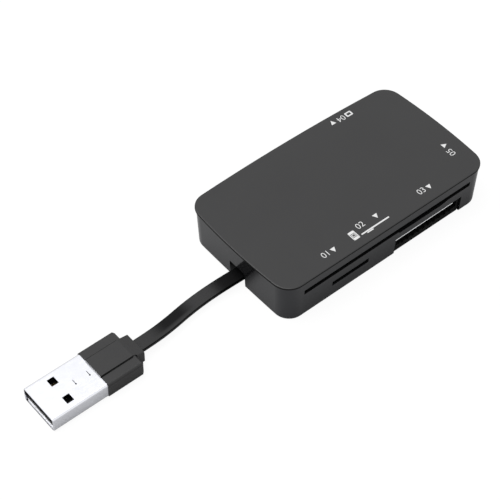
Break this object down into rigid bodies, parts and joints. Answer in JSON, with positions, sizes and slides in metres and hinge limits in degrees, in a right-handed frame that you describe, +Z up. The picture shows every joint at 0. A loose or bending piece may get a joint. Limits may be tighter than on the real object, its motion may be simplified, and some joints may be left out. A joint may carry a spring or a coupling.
{
  "type": "memory card reader",
  "caption": "Low black box with rounded corners and card slots on its sides, joined by a short flat cable to a flat computer plug; reads chip cards and memory cards.",
  "frame": {"origin": "on the table, under the middle of the case", "axes": "+X along the case away from the cable, -Y towards the front with three slots, +Z up"},
  "size_m": [0.1314, 0.0392, 0.013],
  "materials": {
    "cover_plastic": "satin black",
    "case_plastic": "gloss black",
    "circuit_board": "green solder mask",
    "insulator": "matte black",
    "gilt_spring": "gold plated",
    "plated_sheet": "bright plated sheet",
    "chip_resin": "matte black",
    "ceramic": "matte tan",
    "cable_jacket": "satin black",
    "wire_sleeve": "red sleeve",
    "plug_plastic": "satin black",
    "plug_steel": "bright nickel"
  },
  "bodies": {
    "root": {"top_cover": "cover_plastic", "housing": "case_plastic", "main_board": "circuit_board", "chip_card_carrier": "insulator", "chip_card_contacts": "gilt_spring", "full_card_socket_body": "insulator", "full_card_socket_shell": "plated_sheet", "full_card_socket_contacts": "gilt_spring", "micro_card_socket_body": "insulator", "micro_card_socket_shell": "plated_sheet", "micro_card_socket_contacts": "gilt_spring", "stick_card_socket_body": "insulator", "stick_card_socket_shell": "plated_sheet", "stick_card_socket_contacts": "gilt_spring", "small_stick_socket_body": "insulator", "small_stick_socket_shell": "plated_sheet", "small_stick_socket_contacts": "gilt_spring", "controller_chip": "chip_resin", "crystal": "plated_sheet", "capacitors": "ceramic", "strain_relief": "cable_jacket", "cable_wires": "wire_sleeve", "cable": "cable_jacket", "plug_overmold": "plug_plastic", "plug_shell": "plug_steel", "plug_tongue": "insulator", "plug_contacts": "gilt_spring"}
  },
  "joints": []
}
